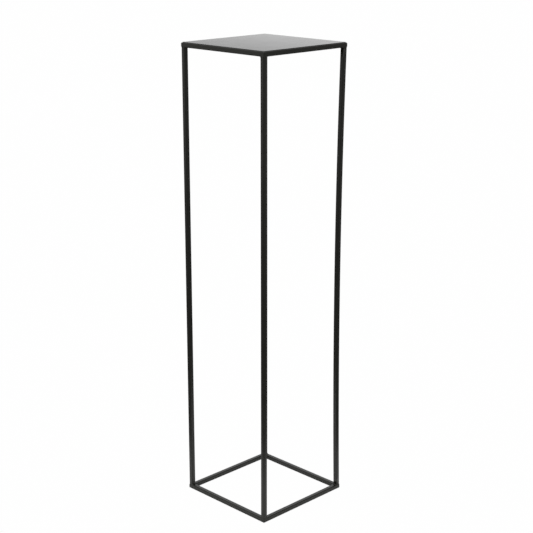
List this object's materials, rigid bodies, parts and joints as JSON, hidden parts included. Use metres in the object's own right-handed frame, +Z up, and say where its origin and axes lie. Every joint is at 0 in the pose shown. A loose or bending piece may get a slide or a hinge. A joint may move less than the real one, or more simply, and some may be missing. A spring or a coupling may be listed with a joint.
{
  "type": "display plinth",
  "caption": "Tall open display plinth: a welded frame of slim square steel tube with a flat square sheet top, black coated.",
  "frame": {"origin": "on the floor under the middle of the stand, which is the bottom centre of its bounding box", "axes": "+Z up along the legs, +X to the right and +Y to the rear, both along the rails"},
  "size_m": [0.2408, 0.2408, 1],
  "materials": {
    "frame_coat": "satin black powder coat on steel tube",
    "sheet_coat": "satin black powder coat on steel sheet",
    "weld_coat": "satin black powder coat over rippled weld beads"
  },
  "bodies": {
    "root": {"top_sheet": "sheet_coat", "top_rail_front": "frame_coat", "top_rail_right": "frame_coat", "top_rail_rear": "frame_coat", "top_rail_left": "frame_coat", "bottom_rail_front": "frame_coat", "bottom_rail_right": "frame_coat", "bottom_rail_rear": "frame_coat", "bottom_rail_left": "frame_coat", "leg_front_left": "frame_coat", "leg_front_right": "frame_coat", "leg_rear_right": "frame_coat", "leg_rear_left": "frame_coat", "top_mitre_welds": "weld_coat", "bottom_mitre_welds": "weld_coat", "leg_top_welds": "weld_coat", "leg_foot_welds": "weld_coat", "sheet_stitch_welds": "weld_coat"}
  },
  "joints": []
}
